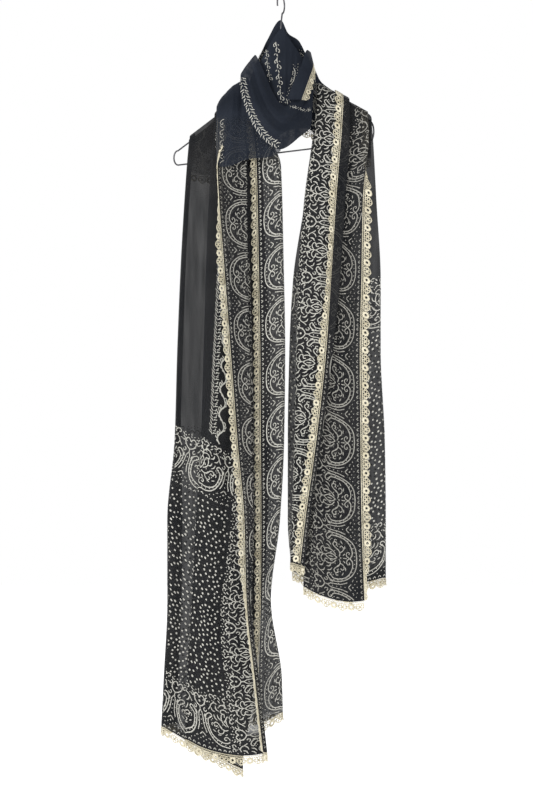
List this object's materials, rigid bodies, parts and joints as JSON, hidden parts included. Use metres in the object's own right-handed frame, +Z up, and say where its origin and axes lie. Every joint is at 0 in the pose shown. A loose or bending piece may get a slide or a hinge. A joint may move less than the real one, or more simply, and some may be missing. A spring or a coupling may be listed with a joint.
{
  "type": "dupatta stole on a wire clothes hanger",
  "caption": "Sheer printed dupatta stole edged with crochet lace, looped round the neck of a wire hanger with both ends hanging in folds.",
  "frame": {"origin": "where the hanger's hook bears on its rail, at the top of the hook's inside", "axes": "+Z up, -Y towards the viewer who sees the cowl and both ends, +X towards that viewer's right"},
  "size_m": [0.4285, 0.1237, 1.4937],
  "materials": {
    "black_georgette": "matte",
    "cream_crochet_lace": "matte",
    "grey_steel_wire": "satin"
  },
  "bodies": {
    "root": {"back_wrap": "black_georgette", "front_swag": "black_georgette", "right_neck_fold": "black_georgette", "neck_inner_fold": "black_georgette", "left_shoulder_fold": "black_georgette", "left_tail": "black_georgette", "right_tail": "black_georgette", "back_lace": "cream_crochet_lace", "neck_lace": "cream_crochet_lace", "left_front_lace": "cream_crochet_lace", "left_rear_lace": "cream_crochet_lace", "left_hem_lace": "cream_crochet_lace", "right_front_lace": "cream_crochet_lace", "right_rear_lace": "cream_crochet_lace", "right_hem_lace": "cream_crochet_lace", "hanger_hook": "grey_steel_wire", "hanger_neck_sleeve": "grey_steel_wire", "hanger_left_shoulder": "grey_steel_wire", "hanger_right_shoulder": "grey_steel_wire", "hanger_bar": "grey_steel_wire"}
  },
  "joints": []
}
